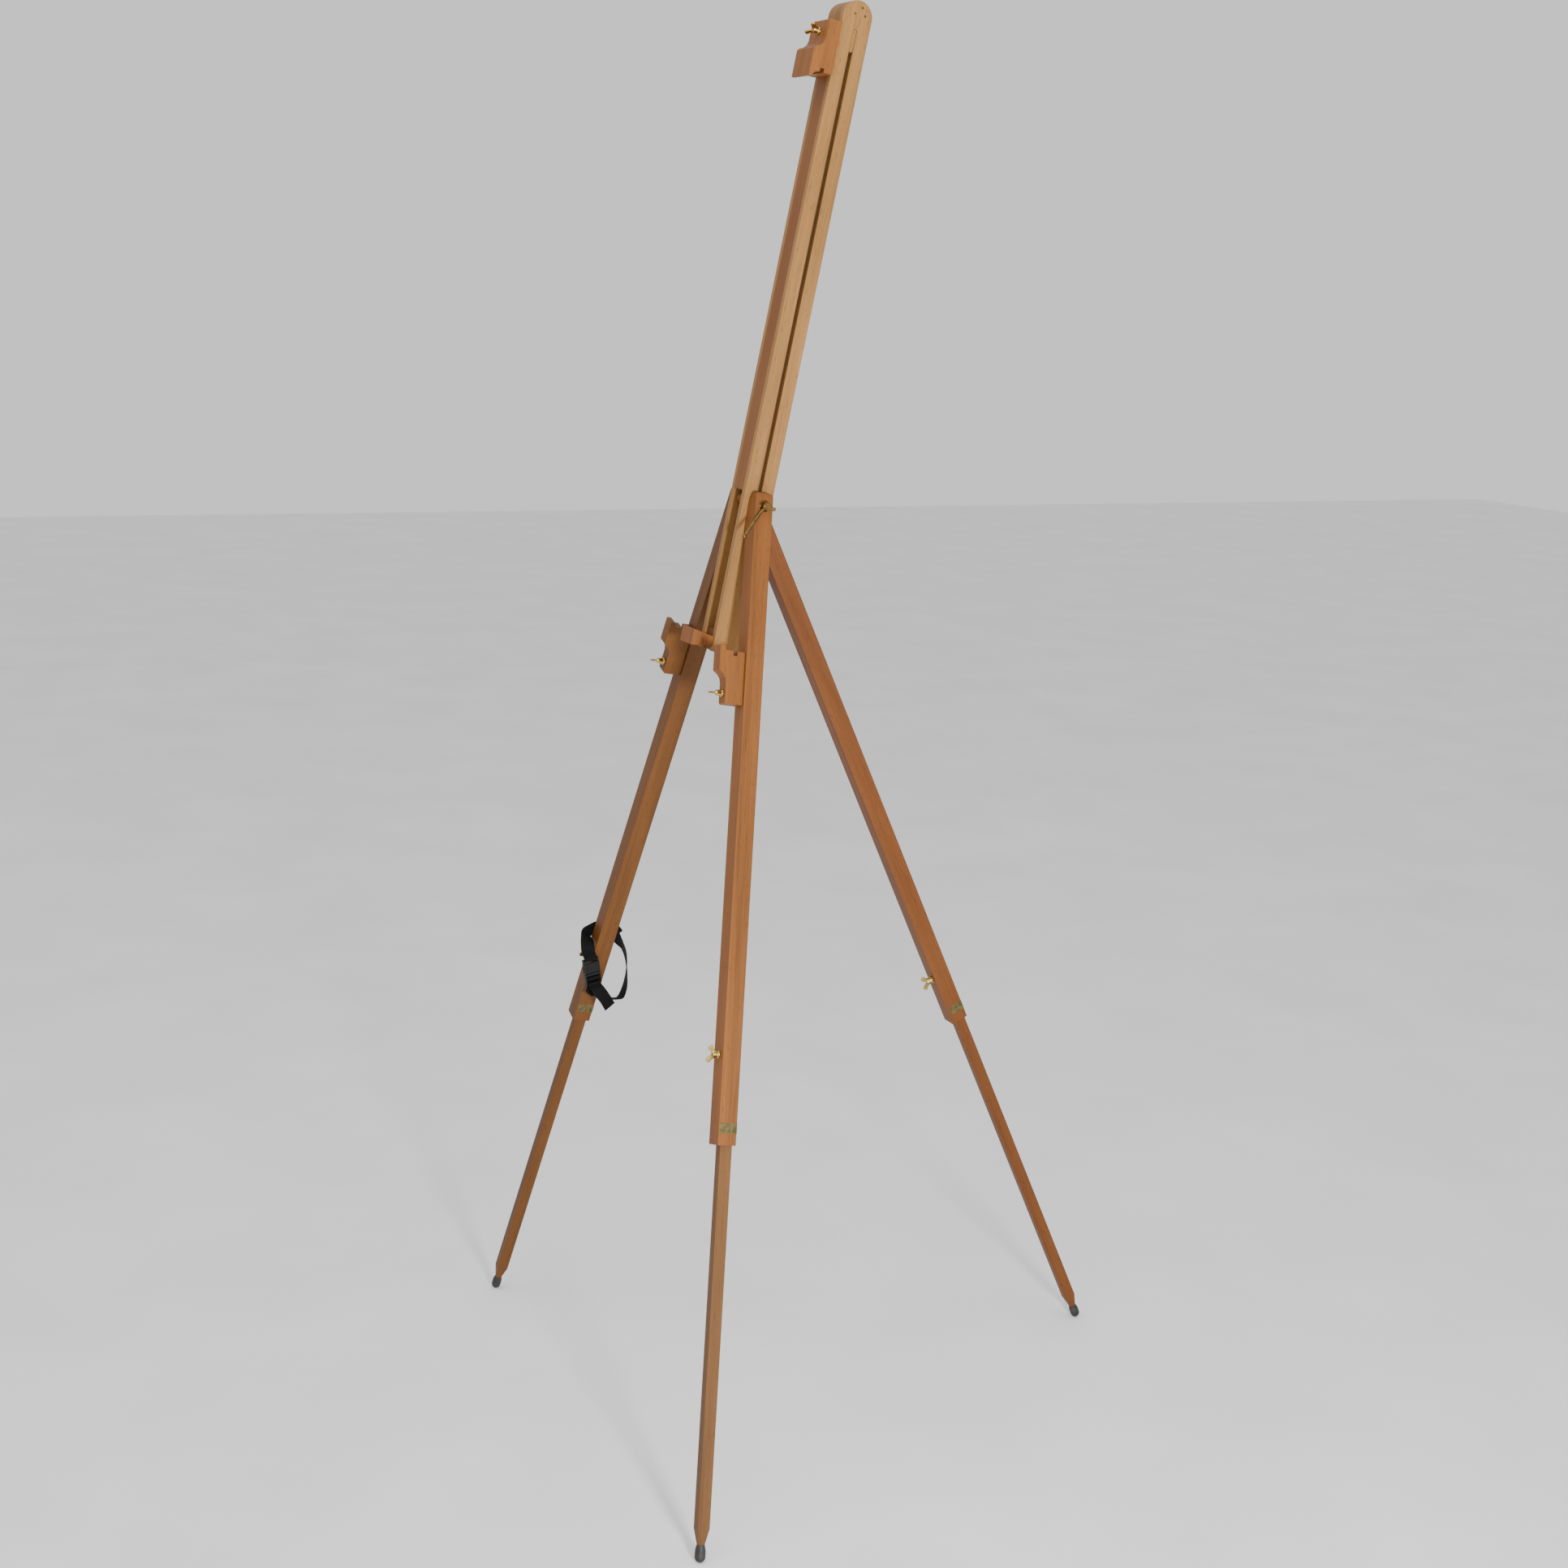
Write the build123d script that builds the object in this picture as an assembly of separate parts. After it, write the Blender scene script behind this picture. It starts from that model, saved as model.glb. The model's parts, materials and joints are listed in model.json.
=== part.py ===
from build123d import *
import math
import os

# A folding three-legged artist easel. Millimetres and degrees, +Z up, the front is -Y.
# The origin is on the floor, under the middle of the whole easel's box.
# One clamp bolt along X carries the three legs and the mast. Every long piece is drawn
# in its own local frame: the bolt's axis is X, +Y is the piece's back, +Z runs up along it.

# ---- driving dimensions ----
PIVOT_HEIGHT = 1350.0
SPLAY = 16.6
FRONT_LEAN = 9.5
REAR_LEAN = 25.2
MAST_LEAN = 10.9
RUN_GAP = 0.3

LEG_W = 29.0
LEG_D = 27.0
LEG_X = 33.0
FRONT_UPPER_LENGTH = 881.0
REAR_UPPER_LENGTH = 886.0
FRONT_LEG_RISE = 15.7
REAR_LEG_RISE = 17.0
REAR_LEG_W = 27.4
REAR_HEAD_ROUND = 9.5
EDGE_ROUND = 1.2

LOWER_W = 14.1
LOWER_D = 17.7
LOWER_BACKSET = 2.6
LOWER_TOP = -631.0
CHANNEL_TOP = -80.0

FOOT_R = 7.35
FOOT_HEIGHT = 23.0
FOOT_NECK_R = 5.15
PEG_R = 3.8
PEG_LENGTH = 12.0
TAPER_LENGTH = 21.0

MAST_W = 47.6
MAST_D = 44.3
BOARD_T = 9.3
MAST_TOP = 689.5
MAST_BOTTOM = -213.5
LATH_T = 3.6
LATH_BOTTOM = 15.3
FILLER_BOTTOM = 652.0
TONGUE_BOTTOM = 620.6
SLOT_BOTTOM = -82.0
SPACER_TOP = -183.6
SPACER_BACK = -5.0

BOLT_R = 3.0
BORE_R = 3.1
SEAT_X = 43.0
SEAT_R = 8.0
WASHER_R = 7.3
WASHER_T = 1.2
PIVOT_WASHER_T = 0.5
HUB_END = 60.0

CLIP_T = 1.2
CLIP_H = 14.0
FRONT_CLIP_Y = -12.4
REAR_CLIP_Y = -9.5
WING_Z_FRONT = -760.0
WING_Z_REAR = -806.0
CLIP_Z_FRONT = -858.0
CLIP_Z_REAR = -864.0

HOLDER_W = 19.5
HOLDER_THIN = 26.6
NEAR_HOLDER_Z = -270.0
FAR_HOLDER_Z = -262.0
TOP_HOLDER_W = 54.6
TOP_SCREW_Z = 640.0
WEB_T = 1.8
WEB_W = 22.0

# ---- derived dimensions ----
MAST_FRONT = -MAST_D / 2
BOARD_IN = MAST_W / 2 - BOARD_T
SLOT_HALF = BORE_R
SLOT_TOP = FILLER_BOTTOM - 0.4
LOWER_FRONT = LOWER_BACKSET - LOWER_D / 2
CHANNEL_FRONT = LOWER_FRONT - RUN_GAP
CHANNEL_HALF = LOWER_W / 2 + RUN_GAP
LEG_FRONT = -LEG_D / 2
LEG_BACK = LEG_D / 2


def foot_centre(lean, splay):
    """Distance down the leg from the bolt to the foot's ball, which just meets the floor."""
    drop = PIVOT_HEIGHT - FOOT_R - LOWER_BACKSET * math.sin(math.radians(lean))
    return drop / (math.cos(math.radians(lean)) * math.cos(math.radians(splay)))


def foot_y(lean, splay, reach):
    """How far behind the bolt the foot's ball stands."""
    back = LOWER_BACKSET * math.cos(math.radians(lean))
    return back - reach * math.cos(math.radians(splay)) * math.sin(math.radians(lean))


FRONT_REACH = foot_centre(FRONT_LEAN, SPLAY)
REAR_REACH = foot_centre(-REAR_LEAN, 0)
FRONT_FOOT_Y = foot_y(FRONT_LEAN, SPLAY, FRONT_REACH)
REAR_FOOT_Y = foot_y(-REAR_LEAN, 0, REAR_REACH)
PIVOT_Y = -(FRONT_FOOT_Y + REAR_FOOT_Y) / 2

NEAR_LEG = Location((LEG_X, PIVOT_Y, PIVOT_HEIGHT), (-FRONT_LEAN, -SPLAY, 0))
FAR_LEG = Location((-LEG_X, PIVOT_Y, PIVOT_HEIGHT), (-FRONT_LEAN, SPLAY, 0))
REAR_LEG = Location((0, PIVOT_Y, PIVOT_HEIGHT), (REAR_LEAN, 0, 0))
MAST = Location((0, PIVOT_Y, PIVOT_HEIGHT), (-MAST_LEAN, 0, 0))
PIVOT = Location((0, PIVOT_Y, PIVOT_HEIGHT))


# ---- shared shapes ----
def block(x, y, z):
    """A box from three (low, high) pairs."""
    size = [pair[1] - pair[0] for pair in (x, y, z)]
    centre = [(pair[0] + pair[1]) / 2 for pair in (x, y, z)]
    return Pos(*centre) * Box(*size)


def both(half):
    return (-half, half)


def rod_x(radius, x, y=0.0, z=0.0):
    return Pos((x[0] + x[1]) / 2, y, z) * Rot(0, 90, 0) * Cylinder(radius, x[1] - x[0])


def rod_y(radius, y, x=0.0, z=0.0):
    return Pos(x, (y[0] + y[1]) / 2, z) * Rot(90, 0, 0) * Cylinder(radius, y[1] - y[0])


def side_profile(points, half_width):
    """A prism along X whose outline is given as (y, z) points."""
    outline = make_face(Polyline(*[(0, y, z) for y, z in points], close=True))
    return extrude(outline, half_width, dir=(1, 0, 0), both=True)


def slot_through(half, z, x):
    """A round-ended slot cutter along Z, open along X."""
    cutter = block(x, both(half), (z[0] + half, z[1] - half))
    return cutter + rod_x(half, x, 0, z[0] + half) + rod_x(half, x, 0, z[1] - half)


def wing_head(seat_y, z):
    """The wing part of a thumb screw: a tapered boss and two raised ears, facing -Y."""
    boss = Pos(0, seat_y - 4.5, z) * Rot(90, 0, 0) * Cone(5.2, 3.8, 9.0)
    for sign in (-1, 1):
        ear = extrude(SlotOverall(14.0, 7.0), 1.2, both=True)
        boss += Pos(0, seat_y - 10.5, z + sign * 6.2) * Rot(0, 90, 0) * Rot(0, 0, 90 + sign * 38) * ear
    return boss


def thumb_screw(seat_y, tip_y, z):
    return wing_head(seat_y, z) + rod_y(BOLT_R, (seat_y - 2, tip_y), 0, z)


def insert_bush(y, z):
    """A flanged threaded bush, drawn with a plain bore."""
    bush = rod_y(4.6, y, 0, z) + rod_y(6.2, (y[0], y[0] + 1.0), 0, z)
    return bush - rod_y(BORE_R, (y[0] - 1, y[1] + 1), 0, z)


# ---- legs ----
def clip_shape(width, z, front_y, grow=0.0):
    """A flat strip bent round the leg's back and let into its sides."""
    half = width / 2
    strip = block(both(half + grow), (front_y, LEG_BACK + grow), (z - CLIP_H / 2, z + CLIP_H / 2))
    inner = block(both(half - CLIP_T), (front_y - 1, LEG_BACK - CLIP_T), (z - CLIP_H, z + CLIP_H))
    strip -= inner
    return strip


def upper_leg(width, length, rise, wing_z, clip_z, clip_front):
    """A square leg, solid at its head and a channel open at the back below it."""
    leg = block(both(width / 2), both(LEG_D / 2), (-length, rise))
    leg = fillet(leg.edges().filter_by(Axis.Z), EDGE_ROUND)
    leg -= block(both(CHANNEL_HALF), (CHANNEL_FRONT, LEG_BACK + 1), (-length - 1, CHANNEL_TOP))
    leg -= clip_shape(width, clip_z, clip_front, grow=2.0)
    leg -= rod_y(4.6, (LEG_FRONT - 1, CHANNEL_FRONT + 1), 0, wing_z)
    leg -= rod_y(6.2, (LEG_FRONT - 1, LEG_FRONT + 1.0), 0, wing_z)
    return leg


def leg_insert(wing_z):
    return insert_bush((LEG_FRONT, CHANNEL_FRONT), wing_z)


def leg_wing_bolt(wing_z):
    return thumb_screw(LEG_FRONT - RUN_GAP, LOWER_FRONT - RUN_GAP, wing_z)


def front_upper_leg(holder_z):
    """The near front leg: its inner side is cut flat against the mast, square to the bolt."""
    leg = upper_leg(LEG_W, FRONT_UPPER_LENGTH, FRONT_LEG_RISE, WING_Z_FRONT, CLIP_Z_FRONT, FRONT_CLIP_Y)
    leg -= rod_y(4.6, (LEG_FRONT - 1, CHANNEL_FRONT + 1), 0, holder_z)
    leg -= rod_y(6.2, (LEG_FRONT - 1, LEG_FRONT + 1.0), 0, holder_z)
    top_back = leg.edges().filter_by(Axis.X).sort_by(Axis.Z)[-2:].sort_by(Axis.Y)[-1]
    leg = fillet(top_back, 7.0)
    leg = NEAR_LEG * leg
    mast_side = (-60.0, MAST_W / 2 + RUN_GAP)
    leg -= PIVOT * block(mast_side, both(80.0), both(120.0))
    leg -= PIVOT * rod_x(BORE_R, (0, 90))
    leg -= PIVOT * rod_x(SEAT_R, (SEAT_X, 90))
    return leg


def rear_upper_leg():
    """The rear leg: its narrower head turns between the mast's two boards."""
    leg = upper_leg(REAR_LEG_W, REAR_UPPER_LENGTH, REAR_LEG_RISE, WING_Z_REAR, CLIP_Z_REAR, REAR_CLIP_Y)
    leg = fillet(leg.edges().filter_by(Axis.X).sort_by(Axis.Z)[-2:], REAR_HEAD_ROUND)
    leg -= rod_x(BORE_R, (-60, 60))
    return REAR_LEG * leg


def lower_leg(reach):
    """A sliding inner leg, tapered to a round neck with a peg for the rubber foot."""
    neck_z = -(reach + FOOT_R - FOOT_HEIGHT)
    taper_z = neck_z + TAPER_LENGTH
    bar = block(both(LOWER_W / 2), both(LOWER_D / 2), (taper_z, LOWER_TOP))
    bar = fillet(bar.edges().filter_by(Axis.Z), 0.8)
    start = Pos(0, 0, taper_z) * RectangleRounded(LOWER_W, LOWER_D, 0.8)
    end = Pos(0, 0, neck_z) * RectangleRounded(2 * FOOT_NECK_R, 2 * FOOT_NECK_R, FOOT_NECK_R - 0.6)
    bar += loft([start.faces()[0], end.faces()[0]])
    bar += Pos(0, 0, neck_z - PEG_LENGTH / 2) * Cylinder(PEG_R, PEG_LENGTH)
    return Pos(0, LOWER_BACKSET, 0) * bar


def rubber_foot(reach):
    """A bulbous cap: a ball end, a short drum and a cone up to the leg's neck."""
    top = FOOT_HEIGHT - FOOT_R
    with BuildSketch(Plane.XZ) as half:
        with BuildLine():
            Line((0, top), (5.6, top))
            Line((5.6, top), (FOOT_R, 8.0))
            Line((FOOT_R, 8.0), (FOOT_R, 0))
            CenterArc((0, 0), FOOT_R, -90, 90)
            Line((0, -FOOT_R), (0, top))
        make_face()
    foot = revolve(half.sketch, Axis.Z)
    foot -= Pos(0, 0, top - PEG_LENGTH / 2) * Cylinder(PEG_R, PEG_LENGTH)
    return Pos(0, LOWER_BACKSET, -reach) * foot


# ---- canvas holders on the front legs ----
def lower_holder(screw_z):
    """A grooved rest with a front lip, held to the leg by one thumb screw."""
    front = LEG_FRONT - RUN_GAP
    thin, wide = front - HOLDER_THIN, front - 38.0
    groove = (front - 17.6, front - 11.6)
    rest, lip, bottom = screw_z + 58.8, screw_z + 65.5, screw_z - 14.8
    floor = rest - 6.6
    outline = [
        (front, rest), (front, bottom), (thin + 2.0, bottom), (thin, bottom + 2.0), (thin, screw_z + 15.0),
        (thin - 1.2, screw_z + 21.0), (thin - 4.4, screw_z + 26.0), (wide, screw_z + 31.4), (wide, lip),
        (wide + 6.9, lip), (wide + 8.4, lip - 1.6), (wide + 8.4, rest), (groove[0], rest),
        (groove[0], floor), (groove[1], floor), (groove[1], rest),
    ]
    holder = side_profile(outline, HOLDER_W / 2)
    return NEAR_LEG * (holder - rod_y(BORE_R, (thin - 1, front + 1), 0, screw_z))


def lower_holder_screw(screw_z):
    seat = LEG_FRONT - RUN_GAP - HOLDER_THIN - RUN_GAP
    return NEAR_LEG * thumb_screw(seat, LOWER_FRONT - RUN_GAP, screw_z)


# ---- mast ----
def round_top(x, y, bottom):
    """A block from bottom up to the mast's half-round top."""
    centre_z = MAST_TOP - MAST_D / 2
    body = block(x, y, (bottom, centre_z)) if bottom < centre_z else None
    cap = rod_x(MAST_D / 2, x, 0, centre_z) & block(x, y, (max(bottom, centre_z), MAST_TOP + 1))
    return cap if body is None else body + cap


NAIL_PLACES = [(4.4, 681.0), (-5.0, 671.2), (10.4, 671.2)]
DOWEL_R = 2.0
DOWEL_X = 17.5
DOWEL_Z = -200.6


def nails():
    """Headed nails through both boards into the top block."""
    pieces = []
    for sign in (-1, 1):
        for y, z in NAIL_PLACES:
            outer = sign * MAST_W / 2
            inner = sign * (MAST_W / 2 - 20.0)
            shank = rod_x(0.9, sorted((outer, inner)), y, z)
            pieces.append(shank + rod_x(1.8, sorted((outer, outer - sign * 0.8)), y, z))
    return pieces


def ledge_dowels():
    return [rod_y(DOWEL_R, (MAST_FRONT - 14.0, MAST_FRONT + 14.0), sign * DOWEL_X, DOWEL_Z) for sign in (-1, 1)]


def without(solid, cutters):
    for cutter in cutters:
        solid -= cutter
    return solid


def mast_board(sign):
    x = sorted((sign * BOARD_IN, sign * MAST_W / 2))
    board = round_top(x, both(MAST_D / 2), MAST_BOTTOM)
    outer = board.edges().filter_by(Axis.Z).group_by(Axis.X)[-1 if sign > 0 else 0]
    board = fillet(outer, EDGE_ROUND)
    board -= slot_through(SLOT_HALF, (SLOT_BOTTOM, SLOT_TOP), x)
    return MAST * without(board, nails() + ledge_dowels())


def mast_top_block():
    filler = round_top(both(BOARD_IN), both(MAST_D / 2), FILLER_BOTTOM)
    return MAST * without(filler, nails())


def mast_spacer():
    front = MAST_FRONT + LATH_T + RUN_GAP
    return MAST * block(both(BOARD_IN), (front, SPACER_BACK), (MAST_BOTTOM, SPACER_TOP))


def mast_ledge():
    """A wedge-shaped block across the mast's foot, where a canvas's lower edge can stand."""
    front = MAST_FRONT - 32.0
    outline = [
        (MAST_FRONT, -206.8), (MAST_FRONT, -193.2), (front + 1.5, -187.0), (front, -188.5),
        (front, -209.2),
    ]
    return MAST * without(side_profile(outline, 20.0), ledge_dowels())


# ---- sliding lath and top holder ----
def sliding_lath():
    lath = block(both(BOARD_IN - RUN_GAP), (MAST_FRONT, MAST_FRONT + LATH_T), (LATH_BOTTOM, SLOT_TOP))
    return MAST * (lath - rod_y(BORE_R, (MAST_FRONT - 1, 0), 0, TOP_SCREW_Z))


def tongue_block():
    """A block between the boards, with a tongue in each side slot, that the top screw draws up."""
    z = (TONGUE_BOTTOM, SLOT_TOP - RUN_GAP)
    body = block(both(BOARD_IN - RUN_GAP), (MAST_FRONT + LATH_T, 14.0), z)
    body += slot_through(SLOT_HALF - RUN_GAP, z, both(MAST_W / 2 - 0.6))
    return MAST * (body - rod_y(4.6, (MAST_FRONT, 4.0), 0, TOP_SCREW_Z))


def tongue_insert():
    bush = rod_y(4.6, (MAST_FRONT + LATH_T, 4.0), 0, TOP_SCREW_Z)
    return MAST * (bush - rod_y(BORE_R, (MAST_FRONT, 3.0), 0, TOP_SCREW_Z))


def top_holder():
    """The upper canvas rest: a grooved block with a lip that points down."""
    front = MAST_FRONT - RUN_GAP
    thin, wide = front - 19.0, front - 33.4
    rest_z, lip_z, top_z = 584.0, 576.0, 655.0
    outline = [
        (front, rest_z), (front, top_z), (thin + 2.0, top_z), (thin, top_z - 2.0), (thin, 629.0),
        (thin - 1.8, 622.5), (thin - 6.5, 617.5), (wide + 3.0, 615.5), (wide, 612.0), (wide, lip_z),
        (wide + 4.0, lip_z), (wide + 7.8, rest_z - 2.0), (wide + 7.8, rest_z),
    ]
    holder = side_profile(outline, TOP_HOLDER_W / 2)
    holder -= block(both(TOP_HOLDER_W), (front - 18.4, front - 12.5), (rest_z - 1, rest_z + 5.4))
    return MAST * (holder - rod_y(BORE_R, (thin - 1, front + 1), 0, TOP_SCREW_Z))


def top_wing_screw():
    seat = MAST_FRONT - RUN_GAP - 19.0 - RUN_GAP
    return MAST * thumb_screw(seat, 2.0, TOP_SCREW_Z)


# ---- clamp bolt ----
def ring_x(outer, x):
    return rod_x(outer, x) - rod_x(BORE_R, (x[0] - 1, x[1] + 1))


def main_bolt():
    """A round-headed bolt through all three legs and the mast's slots."""
    head_x = -(SEAT_X + 0.1 + WASHER_T)
    return PIVOT * (rod_x(BOLT_R, (head_x - 1, 56.0)) + rod_x(6.6, (head_x - 4.0, head_x)))


def bolt_washer(sign):
    start = SEAT_X + 0.1
    return PIVOT * ring_x(WASHER_R, sorted((sign * start, sign * (start + WASHER_T))))


def pivot_washers():
    """Two thin washers between the rear leg's head and the mast's boards."""
    start = REAR_LEG_W / 2 + 0.15
    rings = [ring_x(9.0, sorted((sign * start, sign * (start + PIVOT_WASHER_T)))) for sign in (-1, 1)]
    return Compound(children=[PIVOT * ring for ring in rings])


ARM_ANGLE = 225.2
TAIL_ANGLE = -20.0
ROD_R = 2.1


def lever_point(radius, angle, x):
    """A point in the plane across the bolt: angle from +Y towards +Z."""
    turn = math.radians(angle)
    return (x, radius * math.cos(turn), radius * math.sin(turn))


def swept_rod(points, radius):
    path = FilletPolyline(*points, radius=5.0) if len(points) > 2 else Line(*points)
    section = Plane(origin=path @ 0, z_dir=path % 0) * Circle(radius)
    return sweep(section, path=path)


def lever_rods():
    """The long bent rod of the clamp lever and its short tail, each with a ball end."""
    arm = [lever_point(radius, ARM_ANGLE, x) for radius, x in ((4.0, 55.0), (13.0, 55.5), (55.0, 70.5))]
    tail = [lever_point(radius, TAIL_ANGLE, x) for radius, x in ((4.0, 57.0), (11.4, 57.6))]
    pieces = [swept_rod(arm, ROD_R) + Pos(*arm[-1]) * Sphere(3.0)]
    pieces.append(swept_rod(tail, ROD_R) + Pos(*tail[-1]) * Sphere(2.6))
    return [PIVOT * piece for piece in pieces]


def lever_hub():
    """The clamp nut: a flange, a drum and a domed end, bored blind for the bolt."""
    start = SEAT_X + 0.2 + WASHER_T
    hub = rod_x(7.0, (start, start + 2.4)) + rod_x(5.8, (start, HUB_END - 1.5))
    hub += rod_x(4.8, (HUB_END - 1.5, HUB_END))
    hub -= rod_x(BORE_R, (start - 1, 57.0))
    return without(PIVOT * hub, lever_rods())


# ---- strap on the far leg ----
# Each place: centre of the webbing in the far leg's frame, and the direction of its width.
LOOP_PLACES = [
    ((24.1, -24.3, -756.3), (-0.23, 0.95, 0.23)),
    ((16.5, -25.8, -751.9), (0.0, 0.98, 0.1)),
    ((9.7, -26.8, -744.2), (-0.05, 0.98, 0.1)),
    ((-0.3, -28.0, -740.5), (0.1, 0.95, 0.0)),
    ((-14.2, -24.6, -739.5), (-0.35, 0.6, -0.7)),
    ((-17.2, -15.5, -734.0), (-0.1, 0.55, -0.83)),
    ((-18.6, -6.0, -728.5), (0, 0.5, -0.86)),
    ((-18.3, 7.0, -723.0), (0, 0.3, -0.95)),
    ((-15.5, 17.5, -721.0), (0.1, 0.1, -1)),
    ((-5.0, 20.5, -725.0), (0.5, 0, -0.85)),
    ((-1.3, 24.1, -735.1), (0.85, -0.42, -0.1)),
    ((5.0, 33.2, -745.1), (0.85, -0.45, 0.1)),
    ((10.2, 40.5, -757.6), (0.82, -0.45, 0.2)),
    ((15.0, 45.1, -772.2), (0.82, -0.38, 0.3)),
    ((20.8, 47.6, -788.6), (0.8, -0.25, 0.35)),
    ((27.8, 47.4, -805.5), (0.72, -0.05, 0.45)),
    ((35.4, 42.1, -819.5), (0.75, 0.1, 0.48)),
    ((37.3, 32.1, -821.9), (0.86, 0.12, 0.45)),
    ((40.0, 18.8, -819.8), (0.86, 0.18, 0.44)),
    ((42.3, 4.7, -810.1), (0.7, 0.3, 0.6)),
    ((36.8, -9.1, -806.7), (-0.2, 0.94, 0.25)),
    ((38.4, -9.8, -802.2), (-0.23, 0.95, 0.23)),
]
TAIL_PLACES = [
    ((44.2, -9.5, -797.4), (-0.23, 0.95, 0.23)),
    ((51.8, -7.2, -797.8), (-0.3, 0.92, 0.27)),
    ((58.0, 5.1, -808.6), (-0.5, 0.8, 0.3)),
    ((64.5, 15.4, -820.2), (-0.5, 0.8, 0.35)),
]
BUCKLE_CENTRE = Vector(32.8, -17.1, -777.5)
BUCKLE_ALONG = Vector(0.36, 0.3, -0.88)
BUCKLE_FACE = Vector(0.9, 0.12, 0.41)
BUCKLE_W = 27.0
BUCKLE_T = 7.4


def ribbon(places):
    """Flat webbing: one thin plate for each run between two places, joined to a band."""
    band = None
    for (start, width_a), (end, width_b) in zip(places, places[1:]):
        a, b = Vector(*start), Vector(*end)
        run = b - a
        across = (Vector(*width_a) + Vector(*width_b)).normalized()
        frame = Plane(origin=(a + b) * 0.5, x_dir=run, z_dir=run.cross(across))
        plate = frame * Box(run.length + WEB_T, WEB_W, WEB_T)
        band = plate if band is None else band + plate
    return band


def buckle_frame():
    """Local X runs down the buckle and local Z out of its face."""
    return Plane(origin=BUCKLE_CENTRE, x_dir=BUCKLE_ALONG, z_dir=BUCKLE_FACE)


def buckle_body(low, high, bar_slots):
    """One half of a side-release buckle, with a through slot for the webbing's bar."""
    body = Pos((low + high) / 2, 0, 0) * Box(high - low, BUCKLE_W, BUCKLE_T)
    body = fillet(body.edges().filter_by(Axis.Z), 3.0)
    for place in bar_slots:
        body -= Pos(place, 0, 0) * Box(4.4, WEB_W + 1.0, BUCKLE_T + 2)
    return FAR_LEG * (buckle_frame() * body)


# ---- all nodes ----
def mirrored(solid):
    return mirror(solid, about=Plane.YZ)


def make_nodes():
    nodes = {}
    for side, holder_z in (("near_", NEAR_HOLDER_Z), ("far_", FAR_HOLDER_Z)):
        solids = {
            "upper_leg": front_upper_leg(holder_z),
            "lower_leg": NEAR_LEG * lower_leg(FRONT_REACH),
            "foot": NEAR_LEG * rubber_foot(FRONT_REACH),
            "leg_clip": NEAR_LEG * clip_shape(LEG_W, CLIP_Z_FRONT, FRONT_CLIP_Y),
            "leg_insert": NEAR_LEG * leg_insert(WING_Z_FRONT),
            "leg_wing_bolt": NEAR_LEG * leg_wing_bolt(WING_Z_FRONT),
            "holder_insert": NEAR_LEG * leg_insert(holder_z),
            "holder": lower_holder(holder_z),
            "holder_wing_screw": lower_holder_screw(holder_z),
        }
        for name, solid in solids.items():
            nodes[side + name] = solid if side == "near_" else mirrored(solid)
    nodes["rear_upper_leg"] = rear_upper_leg()
    nodes["rear_lower_leg"] = REAR_LEG * lower_leg(REAR_REACH)
    nodes["rear_foot"] = REAR_LEG * rubber_foot(REAR_REACH)
    nodes["rear_leg_clip"] = REAR_LEG * clip_shape(REAR_LEG_W, CLIP_Z_REAR, REAR_CLIP_Y)
    nodes["rear_leg_insert"] = REAR_LEG * leg_insert(WING_Z_REAR)
    nodes["rear_leg_wing_bolt"] = REAR_LEG * leg_wing_bolt(WING_Z_REAR)
    nodes["mast_near_board"] = mast_board(1)
    nodes["mast_far_board"] = mast_board(-1)
    nodes["mast_top_block"] = mast_top_block()
    nodes["mast_spacer"] = mast_spacer()
    nodes["mast_ledge"] = mast_ledge()
    nodes["mast_nails"] = Compound(children=[MAST * nail for nail in nails()])
    nodes["ledge_dowels"] = Compound(children=[MAST * dowel for dowel in ledge_dowels()])
    nodes["sliding_lath"] = sliding_lath()
    nodes["tongue_block"] = tongue_block()
    nodes["tongue_insert"] = tongue_insert()
    nodes["top_holder"] = top_holder()
    nodes["top_wing_screw"] = top_wing_screw()
    nodes["main_bolt"] = main_bolt()
    nodes["near_bolt_washer"] = bolt_washer(1)
    nodes["far_bolt_washer"] = bolt_washer(-1)
    nodes["pivot_washers"] = pivot_washers()
    nodes["lever_hub"] = lever_hub()
    arm, tail = lever_rods()
    nodes["lever_arm"] = arm
    nodes["lever_tail"] = tail
    nodes["strap_loop"] = FAR_LEG * ribbon(LOOP_PLACES)
    nodes["strap_tail"] = FAR_LEG * ribbon(TAIL_PLACES)
    nodes["buckle_socket"] = buckle_body(-21.0, 2.0, [-16.5])
    nodes["buckle_plug"] = buckle_body(2.6, 20.5, [8.6, 15.6])
    return nodes


os.makedirs("parts", exist_ok=True)
for node, shape in make_nodes().items():
    export_step(shape, "parts/" + node + ".step")
print("bolt at y", round(PIVOT_Y, 3), "front reach", round(FRONT_REACH, 3), "rear reach", round(REAR_REACH, 3))
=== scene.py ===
import json
import math

import bmesh
import bpy
from mathutils import Matrix, Vector


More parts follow.
